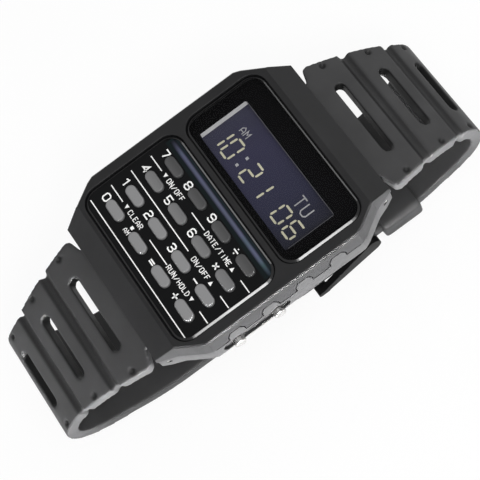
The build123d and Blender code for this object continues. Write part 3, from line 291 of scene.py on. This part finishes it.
def cell_finish():
    """Display cell: indigo polariser with painted shading across it, darkest at its 3 o'clock edge and
    greyer at its 9 o'clock edge.
    """
    made = Finish("cell_indigo")
    made.set(Specular_IOR_Level=0.15)
    # Painted shading: the colour darkens from 9 o'clock to 3 o'clock.
    made.colour(made.ramp(
        made.along("X", -12.0, 12.0),
        (0.0, (0.060, 0.060, 0.096)),
        (0.3, (0.058, 0.056, 0.108)),
        (0.7, (0.046, 0.047, 0.088)),
        (1.0, (0.026, 0.027, 0.040)),
    ))
    made.roughness(made.spread(made.noise(size=3.0), 0.3, 0.42))
    made.bump(made.noise(size=0.2, detail=2.0), depth=0.001, strength=0.3)
    return made.material


def window_finish():
    """Clear smoked window: mostly see-through, with its gloss left on top and the faintest wipe marks."""
    made = Finish("window_clear")
    made.set(Specular_IOR_Level=0.35, Alpha=0.15, IOR=1.49)
    made.colour(made.ramp(made.noise(size=5.0), (0.3, (0.004, 0.004, 0.005)), (0.7, (0.006, 0.006, 0.007))))
    wipes = made.noise(size=3.0, detail=4.0, rough=0.6, stretch=(1.0, 0.3, 1.0))
    made.roughness(made.spread(wipes, 0.03, 0.08))
    return made.material


def painted_streak_finish(middle, width):
    """Painted highlight streak: its hue drifts between blue and teal along X, and the line fades to both
    sides of its middle and towards its ends."""
    made = Finish("painted_highlight_streak")
    made.set(Specular_IOR_Level=0.12)
    # Painted highlight: a pale blue and teal line on the black panel.
    hue = made.ramp(
        made.noise(size=9.0, detail=2.0, stretch=(1.0, 0.1, 0.1)),
        (0.35, (0.085, 0.100, 0.130)),
        (0.50, (0.100, 0.105, 0.175)),
        (0.62, (0.060, 0.105, 0.115)),
        (0.72, (0.085, 0.095, 0.165)),
    )
    across = made.along("Y", middle - width / 2, middle + width / 2)
    sides = made.ramp(across, (0.0, grey(0.07)), (0.36, grey(0.85)), (0.62, grey(1.0)), (1.0, grey(0.07)))
    length = made.along("X", -14.2, 14.2)
    tips = made.ramp(length, (0.02, grey(0.1)), (0.12, grey(0.9)), (0.9, grey(1.0)), (0.99, grey(0.25)))
    made.colour(made.multiply(made.multiply(hue, sides), tips))
    made.roughness(made.spread(made.noise(size=1.0), 0.25, 0.4))
    return made.material


def painted_glow_finish():
    """Painted reflection: a dark teal band beside the streak that fades into the panel's black away from it.
    """
    made = Finish("painted_reflection_band")
    made.set(Specular_IOR_Level=0.12)
    made.colour(made.ramp(
        made.along("Y", -1.9, 0.3),
        (0.0, panel_black_colour),
        (0.55, (0.0060, 0.0110, 0.0120)),
        (1.0, (0.0090, 0.0150, 0.0190)),
    ))
    made.roughness(made.spread(made.noise(size=2.0), 0.14, 0.2))
    return made.material


streak_y, streak_width = -0.22, 0.9
keycap_grey = keycap_finish()
board_green = board_finish()
elastomer_layers = elastomer_finish()
cell_indigo = cell_finish()
window_clear = window_finish()
painted_highlight_streak = painted_streak_finish(streak_y, streak_width)
painted_reflection_band = painted_glow_finish()

node_finish = {
    "bezel": resin_bezel, "case_body": resin_body, "lcd_glass": window_clear, "keypad_panel": panel_black,
    "key_membrane": rubber_grey, "circuit_board": board_green, "ic_chip": epoxy_black,
    "quartz_crystal": steel_plain, "zebra_connectors": elastomer_layers, "lcd_spacer": spacer_white,
    "lcd_cell": cell_indigo, "display_mask": mask_black, "module_frame": frame_black,
    "module_screws": steel_plain, "battery": steel_back, "battery_clip": steel_plain,
    "battery_contact": steel_plain, "buzzer_disc": brass_disc, "buzzer_spring": steel_plain,
    "case_back": steel_back, "case_screws": steel_plain, "back_gasket": rubber_seal,
    "pusher_seals": rubber_seal, "switch_springs": steel_plain, "spring_bar_12": steel_plain,
    "spring_bar_6": steel_plain, "pusher_upper_spring": steel_plain, "pusher_lower_spring": steel_plain,
    "pusher_upper": steel_pusher, "pusher_lower": steel_pusher, "pusher_upper_clip": steel_plain,
    "pusher_lower_clip": steel_plain, "strap_12": resin_strap, "strap_6": resin_strap,
    "buckle_frame": buckle_black, "buckle_bar": steel_plain, "buckle_tongue": buckle_black,
    "keeper": resin_keeper,
}
for name, node in nodes.items():
    finish = keycap_grey if name.startswith("key_") and name != "key_membrane" else node_finish[name]
    node.data.materials.clear()
    node.data.materials.append(finish)


# Flat marks: ribbons and plates

def piece(name, points, faces, finish, body):
    """A closed mesh of points in millimetres and of faces, turned outwards and riding on a body."""
    mesh = bpy.data.meshes.new(name)
    mesh.from_pydata((np.asarray(points) * MM).tolist(), [], faces)
    mesh.validate()
    made = bpy.data.objects.new(name, mesh)
    bpy.context.scene.collection.objects.link(made)
    mesh.materials.append(finish)
    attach(made, body)
    turned = bmesh.new()
    turned.from_mesh(mesh)
    bmesh.ops.recalc_face_normals(turned, faces=turned.faces)
    turned.to_mesh(mesh)
    turned.free()
    return made


def box_corners(node):
    """A node's lowest and highest corner in millimetres."""
    return [np.array(corner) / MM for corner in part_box(node)]


def ribbon(line, width, closed=False):
    """Outline quads of a flat line: each point goes half a width to both sides along its mitre, which is
    the sum of the two unit normals there over one plus their dot product. Returns points and faces."""
    line = np.asarray(line, float)
    steps = np.roll(line, -1, 0) - line if closed else np.diff(line, axis=0)
    steps = steps / np.linalg.norm(steps, axis=1, keepdims=True)
    square = np.stack([-steps[:, 1], steps[:, 0]], 1)
    before = np.roll(square, 1, 0) if closed else np.vstack([square[:1], square])
    after = square if closed else np.vstack([square, square[-1:]])
    mitre = (before + after) / (1 + (before * after).sum(1, keepdims=True))
    points = np.vstack([line + mitre * width / 2, line - mitre * width / 2])
    count = len(line)
    first = np.arange(count if closed else count - 1)
    second = (first + 1) % count
    return points, np.stack([first, first + count, second + count, second], 1)


def layers(shapes, low, high):
    """Closed prisms from flat polygons: their points at two heights, with top, bottom and every side. A side
    stands on each edge that runs one way only, because an edge inside a shape runs both ways."""
    points, faces, start = [], [], 0
    for flat, polygons in shapes:
        count, corners = len(flat), polygons.shape[1]
        points += [np.column_stack([flat, np.full(count, height)]) for height in (high, low)]
        edges = np.vstack([polygons[:, [k, (k + 1) % corners]] for k in range(corners)])
        a, b = edges[~np.isin(edges @ (1, count), edges @ (count, 1))].T
        faces += (start + polygons).tolist()
        faces += (start + count + polygons[:, ::-1]).tolist()
        faces += (start + np.stack([a, a + count, b + count, b], 1)).tolist()
        start += 2 * count
    return np.vstack(points), faces


def mark(name, shapes, low, high, finish, body="case"):
    """A printed or inlaid mark between two heights."""
    points, faces = layers(shapes, low, high)
    return piece(name, points, faces, finish, body)


# Strokes of plain squared characters on a grid 4 wide and 6 high; each pair of digits is one point
grid_width, grid_height = 4, 6
strokes = {
    "0": "10-30-41-45-36-16-05-01-10", "1": "05-26-20", "2": "05-16-36-45-44-33-13-02-00-40",
    "3": "05-16-36-45-44-33-13 33-42-41-30-10-01", "4": "30-36-02-42", "5": "46-06-03-33-42-41-30-10-01",
    "6": "45-36-16-05-01-10-30-41-42-33-03", "7": "06-46-45-20",
    "8": "13-33-42-41-30-10-01-02-13 13-04-05-16-36-45-44-33", "9": "01-10-30-41-45-36-16-05-04-13-43",
    "divide": "03-43 26-25 21-20", "times": "00-46 06-40", "minus": "03-43", "plus": "03-43 20-26",
    "equals": "02-42 04-44",
    "A": "00-04-26-44-40 02-42", "C": "45-36-16-05-01-10-30-41", "D": "00-06-26-44-42-20-00",
    "E": "46-06-00-40 03-33", "F": "00-06-46 03-33", "H": "00-06 40-46 03-43", "I": "20-26",
    "L": "06-00-40", "M": "00-06-23-46-40", "N": "00-06-40-46", "O": "10-30-41-45-36-16-05-01-10",
    "R": "00-06-36-45-44-33-03 23-40", "T": "06-46 26-20", "U": "06-01-10-30-41-46", "/": "00-46",
}


def character(sign, left, foot, height, weight, width=0.72):
    """Ribbons of one character whose foot is at a point; its width is a share of its height."""
    shapes = []
    for stroke in strokes[sign].split():
        line = np.array([[int(pair[0]) / grid_width * height * width, int(pair[1]) / grid_height * height]
                         for pair in stroke.split("-")]) + (left, foot)
        closed = len(line) > 2 and np.allclose(line[0], line[-1])
        shapes.append(ribbon(line[:-1] if closed else line, weight, closed))
    return shapes


def words(text, left, foot, height, weight, width=0.62, gap=0.34):
    """Ribbons of a short line of characters, each a share of the height wide, with a gap between. Returns
    them and the place where the next character would start."""
    shapes, x = [], left
    for sign in text:
        shapes += character(sign, x, foot, height, weight, width)
        x += height * (width + gap)
    return shapes, x


def bar(x0, x1, y, width):
    """A straight printed line."""
    return [ribbon([(x0, y), (x1, y)], width)]


def square_dot(x, y, size):
    """A printed square about a point."""
    return bar(x - size / 2, x + size / 2, y, size)


def triangle(x, y, size, up):
    """A filled triangle pointing to 12 o'clock, or to 6 o'clock."""
    side = size / 2 if up else -size / 2
    corners = [(x - size / 2, y - side), (x + size / 2, y - side), (x, y + side)]
    return [(np.array(corners if up else corners[::-1]), np.array([[0, 1, 2]]))]


panel_top = 7.9
print_top = panel_top + 0.02
rule_left, rule_right, rule_width = -13.7, 14.2, 0.17
rules = []
for x0, x1, y in (
    (rule_left, 14.3, -15.75),
    (rule_left, -10.2, -11.8), (-2.3, 2.7, -11.8), (11.9, rule_right, -11.8),
    (rule_left, 3.0, -8.0), (11.9, rule_right, -8.0),
    (rule_left, -10.5, -4.22), (-1.8, 1.8, -4.22), (11.8, rule_right, -4.22),
):
    rules += bar(x0, x1, y, rule_width)
mark("panel_lines", rules, panel_top, print_top, print_white)

legend_height, legend_weight = 0.78, 0.13
arrow_before, arrow_after, arrow_size = 0.9, 0.55, 0.72
legends = []
for text, left, y, arrow_left, up in (
    ("ON/OFF", -8.6, -4.22, True, False),
    ("DATE/TIME", 2.3, -4.22, False, True),
    ("ON/OFF", 4.3, -8.0, False, True),
    ("CLEAR", -8.2, -11.8, True, False),
    ("RUN/HOLD", 3.0, -11.8, False, False),
):
    shapes, end = words(text, left, y - legend_height / 2, legend_height, legend_weight)
    legends += shapes
    legends += triangle(left - arrow_before if arrow_left else end + arrow_after, y, arrow_size, up)
mark("panel_legends", legends, panel_top, print_top, print_white)

first_key_x, key_pitch_x, first_key_y, key_pitch_y = -9.7, 6.7, -2.35, 3.73
key_rows = (("7", "8", "9", "divide"), ("4", "5", "6", "times"), ("1", "2", "3", "minus"),
            ("0", "point", "equals", "plus"))
keys = [(name, first_key_x + key_pitch_x * column, first_key_y - key_pitch_y * row)
        for row, names in enumerate(key_rows) for column, name in enumerate(names)]

# A sign's height in millimetres, and its width as a share of that
sign_sizes = {"plus": (1.15, 1.0), "times": (0.8, 1.0), "minus": (1.1, 1.0), "divide": (1.1, 0.95),
              "equals": (1.1, 1.0)}
digit_size = (1.25, 0.8)
label_left, label_up, label_weight, point_size = 2.78, 0.1, 0.23, 0.54
labels = []
for name, key_x, key_y in keys:
    x, y = key_x - label_left, key_y + label_up
    if name == "point":
        labels += square_dot(x + 0.15, y + 0.5, point_size)
        labels += words("AM", x - 0.55, y - 0.85, 0.68, 0.11)[0]
    else:
        height, width = sign_sizes.get(name, digit_size)
        labels += character(name, x - height * width / 2, y - height / 2, height, label_weight, width)
mark("key_labels", labels, panel_top, print_top, print_white)


# Display segments

def segments(digit, left, foot, width, height, weight=0.34, lean=0.06, gap=0.15):
    """Seven-segment digit: each lit segment is a ribbon with its ends drawn in by a gap, and every
    point leans to the right by a share of its height."""
    half = height / 2
    ends = {
        "a": ((0, height), (width, height)), "b": ((width, height), (width, half)),
        "c": ((width, half), (width, 0)), "d": ((0, 0), (width, 0)), "e": ((0, half), (0, 0)),
        "f": ((0, height), (0, half)), "g": ((0, half), (width, half)),
    }
    lit = {"0": "abcdef", "1": "bc", "2": "abged", "6": "afgecd"}[digit]
    shapes = []
    for letter in lit:
        start, end = np.array(ends[letter], float)
        along = (end - start) / np.linalg.norm(end - start)
        start, end = start + along * (gap + weight / 2), end - along * (gap + weight / 2)
        side = np.array([-along[1], along[0]]) * weight / 2
        tip = along * weight / 2
        outline = np.array([start - tip, start - side, end - side, end + tip, end + side, start + side])
        outline[:, 0] += outline[:, 1] * lean
        shapes.append((outline + (left, foot), np.array([[0, 1, 2, 5], [5, 2, 3, 4]])))
    return shapes


cell_top = 6.1
ink_top = cell_top + 0.02
time_foot, time_height, second_foot, second_height, second_width = 4.75, 3.5, 4.95, 2.95, 2.0
time_shapes = []
for digit, left, width in (("1", -11.2, 1.9), ("0", -8.35, 1.95), ("2", -3.2, 1.95), ("1", -0.15, 1.9)):
    time_shapes += segments(digit, left, time_foot, width, time_height)
for digit, left in (("0", 5.3), ("6", 8.4)):
    time_shapes += segments(digit, left, second_foot, second_width, second_height)
mark("display_time", time_shapes, cell_top, ink_top, segment_ink)
colon_size = 0.48
colon = square_dot(-4.62, 5.56, colon_size) + square_dot(-4.48, 7.41, colon_size)
mark("display_colon", colon, cell_top, ink_top, fine_segment_ink)
small = words("AM", -9.1, 8.95, 1.15, 0.13, gap=0.3)[0] + words("TU", 5.9, 8.75, 2.0, 0.2, gap=0.3)[0]
mark("display_letters", small, cell_top, ink_top, fine_segment_ink)


# Round the display: its frame, the black print under the glass, and painted highlights: a white strip on the
# 9 o'clock edge and a thin pale line

def rounded(x0, x1, y0, y1, radius, count=8):
    """Closed rounded rectangle as points: quarter circles about its four corner centres."""
    turn = np.linspace(0, math.pi / 2, count)
    corners = [(x1 - radius, y1 - radius, 0), (x0 + radius, y1 - radius, 1),
               (x0 + radius, y0 + radius, 2), (x1 - radius, y0 + radius, 3)]
    return np.vstack([
        np.stack([cx + radius * np.cos(turn + quarter * math.pi / 2),
                  cy + radius * np.sin(turn + quarter * math.pi / 2)], 1)
        for cx, cy, quarter in corners
    ])


def drawn_in(low, high, inset, radius, count=8):
    """The rounded outline of a box, drawn in by an inset."""
    return rounded(low[0] + inset, high[0] - inset, low[1] + inset, high[1] - inset, radius, count)


def ring_plate(outer, inner):
    """A flat ring between two closed outlines with equal counts, point n joined to point n."""
    count = len(outer)
    first = np.arange(count)
    second = (first + 1) % count
    return np.vstack([outer, inner]), np.stack([first, second, second + count, first + count], 1)


# The frame is a closed ring between a rounded outline and the opening over the display cell
opening = (-12.18, 11.84, 3.66, 12.66)
opening_outline = rounded(*opening, 0.35)
mask_low, mask_high = box_corners("display_mask")
frame_ring = ring_plate(drawn_in(mask_low, mask_high, 0.0, 0.5), opening_outline)
display_frame = mark("display_frame", [frame_ring], mask_low[2], mask_high[2], mask_black)
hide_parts("display_mask")

# The print under the glass has the same opening
glass_low, glass_high = box_corners("lcd_glass")
border_ring = ring_plate(drawn_in(glass_low, glass_high, 0.05, 2.6), opening_outline)
border_low, border_high = 6.905, 6.925
mark("glass_border", [border_ring], border_low, border_high, print_and_seam_shade_black)

# Painted highlight: a white prism on the opening's 9 o'clock side, its face sloping from the frame's top to
# the cell
edge_x, edge_y0, edge_y1, edge_width = opening[0], opening[2] + 0.15, opening[3] - 0.05, 0.30
wedge = [(edge_x, mask_high[2]), (edge_x + edge_width, mask_low[2]), (edge_x, mask_low[2])]
points = [(x, y, z) for y in (edge_y0, edge_y1) for x, z in wedge]
faces = [(0, 1, 2), (3, 5, 4), (0, 3, 4, 1), (1, 4, 5, 2), (2, 5, 3, 0)]
piece("display_edge_highlight", points, faces, painted_edge_highlight, "case")

# Painted highlight: a thin pale line along the opening's 12 and 3 o'clock sides
line, line_width, line_low, line_high = [(-11.6, 12.60), (11.78, 12.60), (11.78, 4.2)], 0.10, 6.86, 6.879
mark("display_highlight_line", [ribbon(line, line_width)], line_low, line_high, painted_line_highlight)


def rim(name, node, radius=2.65, lip_foot=7.93, lip_top=8.15):
    """Black bevelled lip over a window's sloped edge: a thin five-sided section carried round the rounded
    outline. Each corner of the section is the outline drawn in by a distance, at a height."""
    low, high = box_corners(node)
    section = ((-0.02, high[2] - 0.45), (-0.02, lip_foot), (0.36, lip_top), (0.42, lip_top),
               (0.42, high[2] - 0.1))
    rings = []
    for inset, z in section:
        flat = drawn_in(low, high, inset, radius - inset, 12)
        rings.append(np.column_stack([flat, np.full(len(flat), z)]))
    count, sides = len(rings[0]), len(rings)
    first = np.arange(count)
    second = (first + 1) % count
    faces = [np.stack([first + k * count, second + k * count, second + (k + 1) % sides * count,
                       first + (k + 1) % sides * count], 1) for k in range(sides)]
    return piece(name, np.vstack(rings), np.vstack(faces).tolist(), rim_black, "case")


rim("display_rim", "lcd_glass")
rim("keypad_rim", "keypad_panel")

# Painted shade in the seam between the bezel and the body's teeth, on both long sides: a dark strip in the
# gap along a line of y and z along the skirt and round each tooth. The bezel's side leans in by 5 degrees,
# so x falls by a share of the height above.
skirt_x, skirt_z, lean_in = 17.2, 4.6, 0.0875
seam_reach, seam_up, seam_width, seam_depth, seam_proud = 13.2, 0.06, 0.17, 0.12, 0.012
tooth = ((-1.48, seam_up), (-1.48, 0.94), (-0.88, 1.88), (0.88, 1.88), (1.48, 0.94), (1.48, seam_up))
tooth_centres = (-9.225, -3.075, 3.075, 9.225)
seam = [(-seam_reach, skirt_z + seam_up)]
seam += [(centre + y, skirt_z + z) for centre in tooth_centres for y, z in tooth]
seam += [(seam_reach, skirt_z + seam_up)]
points, faces = layers([ribbon(seam, seam_width)], -seam_depth, seam_proud)
seam_y, seam_z, seam_out = points.T
seam_x = skirt_x - lean_in * (seam_z - skirt_z) + seam_out
for name, side in (("seam_shade_3_oclock", 1), ("seam_shade_9_oclock", -1)):
    points = np.column_stack([side * seam_x, seam_y, seam_z])
    piece(name, points, faces, print_and_seam_shade_black, "case")

# Painted highlight streak and its dark teal painted reflection band on the panel's 12 o'clock edge
glow_top, streak_top = panel_top + 0.008, print_top - 0.006
mark("panel_painted_glow", bar(-14.0, 14.0, -0.35, 1.9), panel_top, glow_top, painted_reflection_band)
mark("panel_painted_streak", bar(-13.6, 13.9, streak_y, streak_width), panel_top, streak_top, painted_highlight_streak)


# Soft strap parts: merged copies of the solids, remeshed and relaxed so that every edge is rounded

def merged(node):
    """A node's triangles as one closed mesh, with its doubles merged."""
    mesh = bmesh.new()
    mesh.from_mesh(nodes[node].data)
    bmesh.ops.remove_doubles(mesh, verts=mesh.verts, dist=0.002 * MM)
    return mesh


def from_solid(name, mesh, finish, body):
    """An object made of a merged mesh, riding on a body."""
    data = bpy.data.meshes.new(name)
    mesh.to_mesh(data)
    mesh.free()
    data.materials.append(finish)
    made = bpy.data.objects.new(name, data)
    bpy.context.scene.collection.objects.link(made)
    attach(made, body)
    return made


def softened(name, node, body, grain, rounds, finish):
    """A node's shape as an even mesh with a grain in millimetres. Each round moves every point halfway to
    the mean of its neighbours, which rounds edges and leaves flats where they are."""
    made = from_solid(name, merged(node), finish, body)
    even = made.modifiers.new("even", "REMESH")
    even.mode = "VOXEL"
    even.voxel_size = grain * MM
    graph = bpy.context.evaluated_depsgraph_get()
    fine = bpy.data.meshes.new_from_object(made.evaluated_get(graph))
    made.modifiers.clear()
    count = len(fine.vertices)
    places = np.empty(count * 3, np.float32)
    fine.vertices.foreach_get("co", places)
    places = places.reshape(-1, 3).astype(float)
    edges = np.empty(len(fine.edges) * 2, np.int32)
    fine.edges.foreach_get("vertices", edges)
    starts, ends = edges.reshape(-1, 2).T
    near = np.bincount(starts, minlength=count) + np.bincount(ends, minlength=count)
    for _ in range(rounds):
        mean = np.stack([
            np.bincount(starts, places[ends, axis], count) + np.bincount(ends, places[starts, axis], count)
            for axis in range(3)
        ], 1) / near[:, None]
        places += (mean - places) / 2
    fine.vertices.foreach_set("co", places.astype(np.float32).ravel())
    fine.polygons.foreach_set("use_smooth", np.ones(len(fine.polygons), bool))
    fine.update()
    made.data = fine
    fine.materials.clear()
    fine.materials.append(finish)
    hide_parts(node)
    return made


softened("strap_12_soft", "strap_12", "strap_12", grain=0.20, rounds=5, finish=resin_strap)
softened("strap_6_soft", "strap_6", "strap_6", grain=0.22, rounds=4, finish=resin_strap)
softened("keeper_soft", "keeper", "keeper", grain=0.16, rounds=30, finish=resin_keeper)


# Springs and rubber domes: copies with meshes of their own

for place in ("upper", "lower"):
    node = f"pusher_{place}_spring"
    low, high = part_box(node)
    spring = from_solid(f"{node}_live", merged(node), steel_plain, "case")
    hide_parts(node)
    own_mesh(spring)


def cut_across(mesh, level, above):
    """The closed part of a mesh above or below a level."""
    everything = mesh.verts[:] + mesh.edges[:] + mesh.faces[:]
    cut = bmesh.ops.bisect_plane(mesh, geom=everything, plane_co=(0, 0, level), plane_no=(0, 0, 1),
                                 clear_inner=above, clear_outer=not above)
    rim_edges = [edge for edge in cut["geom_cut"] if isinstance(edge, bmesh.types.BMEdge)]
    bmesh.ops.triangle_fill(mesh, edges=rim_edges, use_beauty=True)
    bmesh.ops.recalc_face_normals(mesh, faces=mesh.faces)
    return mesh


# The membrane is cut just above its sheet, and each dome is what lies within a reach of its key
sheet_height, dome_reach = 0.41 * MM, 1.7 * MM
low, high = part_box("key_membrane")
dome_foot = low[2] + sheet_height
below = cut_across(merged("key_membrane"), dome_foot, False)
sheet = from_solid("membrane_sheet", below, rubber_grey, "case")
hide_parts("key_membrane")
domes = cut_across(merged("key_membrane"), dome_foot, True)
for name, key_x, key_y in keys:
    x, y = key_x * MM, key_y * MM
    dome = domes.copy()
    far = [vert for vert in dome.verts if math.hypot(vert.co.x - x, vert.co.y - y) > dome_reach]
    bmesh.ops.delete(dome, geom=far, context="VERTS")
    made = from_solid(f"dome_{name}", dome, rubber_grey, "case")
    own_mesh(made)
domes.free()


# Floor, light and camera

def floor_finish():
    """White paper sweep: seen mostly as its own white, with a soft share of real shading."""
    seen_share = 0.9
    made = Finish("paper_white")
    made.colour(made.ramp(made.noise(size=40.0), (0.3, grey(0.93)), (0.7, grey(0.95))))
    made.set(Roughness=0.9, Specular_IOR_Level=0.1)
    glow = made.node("ShaderNodeEmission", Strength=1.0)
    mix = made.node("ShaderNodeMixShader")
    path = made.node("ShaderNodeLightPath")
    seen = made.node("ShaderNodeMath", operation="MAXIMUM")
    share = made.node("ShaderNodeMath", operation="MULTIPLY")
    share.inputs[1].default_value = seen_share
    made.link(path.outputs["Is Camera Ray"], seen.inputs[0])
    made.link(path.outputs["Is Glossy Ray"], seen.inputs[1])
    made.link(seen.outputs[0], share.inputs[0])
    made.link(share.outputs[0], mix.inputs["Fac"])
    made.link(made.shader.outputs[0], mix.inputs[1])
    made.link(glow.outputs[0], mix.inputs[2])
    made.link(mix.outputs[0], made.tree.nodes["Material Output"].inputs["Surface"])
    return made.material


floor_reach, floor_z = 4000, -21.95
floor_mesh = bpy.data.meshes.new("floor")
floor_mesh.from_pydata([(x * floor_reach * MM, y * floor_reach * MM, floor_z * MM)
                        for x, y in ((-1, -1), (1, -1), (1, 1), (-1, 1))], [], [(0, 1, 2, 3)])
floor = bpy.data.objects.new("floor", floor_mesh)
bpy.context.scene.collection.objects.link(floor)
floor_mesh.materials.append(floor_finish())

# The world is white to the camera, and a plain level of light for everything else
light_level, seen_level = 0.45, 1.0
world = bpy.data.worlds.new("studio")
bpy.context.scene.world = world
world.use_nodes = True
sky = world.node_tree
background = sky.nodes["Background"]
background.inputs["Color"].default_value = (1, 1, 1, 1)
rays = sky.nodes.new("ShaderNodeLightPath")
level = sky.nodes.new("ShaderNodeMapRange")
level.inputs["To Min"].default_value = light_level
level.inputs["To Max"].default_value = seen_level
sky.links.new(rays.outputs["Is Camera Ray"], level.inputs["Value"])
sky.links.new(level.outputs["Result"], background.inputs["Strength"])


def turned_to(right, up, back, place):
    """A world matrix from a frame's three axes and its place in millimetres."""
    rows = np.column_stack([right, up, back, np.array(place) * MM])
    return Matrix([*rows.tolist(), [0, 0, 0, 1]])


def lamp(name, place, aim, width, height, power, spread=180):
    """A rectangular soft lamp at a place in millimetres, aimed at a point, with a spread in degrees."""
    light = bpy.data.lights.new(name, "AREA")
    light.shape = "RECTANGLE"
    light.size = width * MM
    light.size_y = height * MM
    light.energy = power
    light.spread = math.radians(spread)
    made = bpy.data.objects.new(name, light)
    bpy.context.scene.collection.objects.link(made)
    back = np.array(place, float) - np.array(aim, float)
    back /= np.linalg.norm(back)
    right = np.cross((0.0, 0.0, 1.0), back)
    right /= np.linalg.norm(right)
    made.matrix_world = turned_to(right, np.cross(back, right), back, place)
    return made


lamp("key_soft", place=(210, 30, 400), aim=(0, 0, 0), width=300, height=300, power=1.1)
lamp("edge_light", place=(257, 0, 336), aim=(15, 0, 8), width=80, height=80, power=0.3)
lamp("far_edge_light", place=(-160, 325, 216), aim=(0, 9, 8), width=120, height=120, power=0.12)
lamp("side_low", place=(300, -50, 2.5), aim=(15, 0, 2.5), width=200, height=11, power=0.1, spread=8.5)

# The lens was fitted to the photograph as a focal length in pixels of its 480-pixel frame
sensor_width, focal_pixels, frame_pixels = 36.0, 1500, 480
camera_data = bpy.data.cameras.new("camera")
camera_data.sensor_width = sensor_width
camera_data.lens = focal_pixels / frame_pixels * sensor_width
camera_data.clip_start = 10 * MM
camera = bpy.data.objects.new("camera", camera_data)
bpy.context.scene.collection.objects.link(camera)
camera.matrix_world = turned_to(right=(0.5404, 0.8056, -0.2429), up=(-0.7402, 0.5924, 0.3181),
                                back=(0.4001, 0.0079, 0.9164), place=(95.57, 0.97, 211.86))
bpy.context.scene.camera = camera
bpy.context.scene.view_settings.view_transform = "Standard"
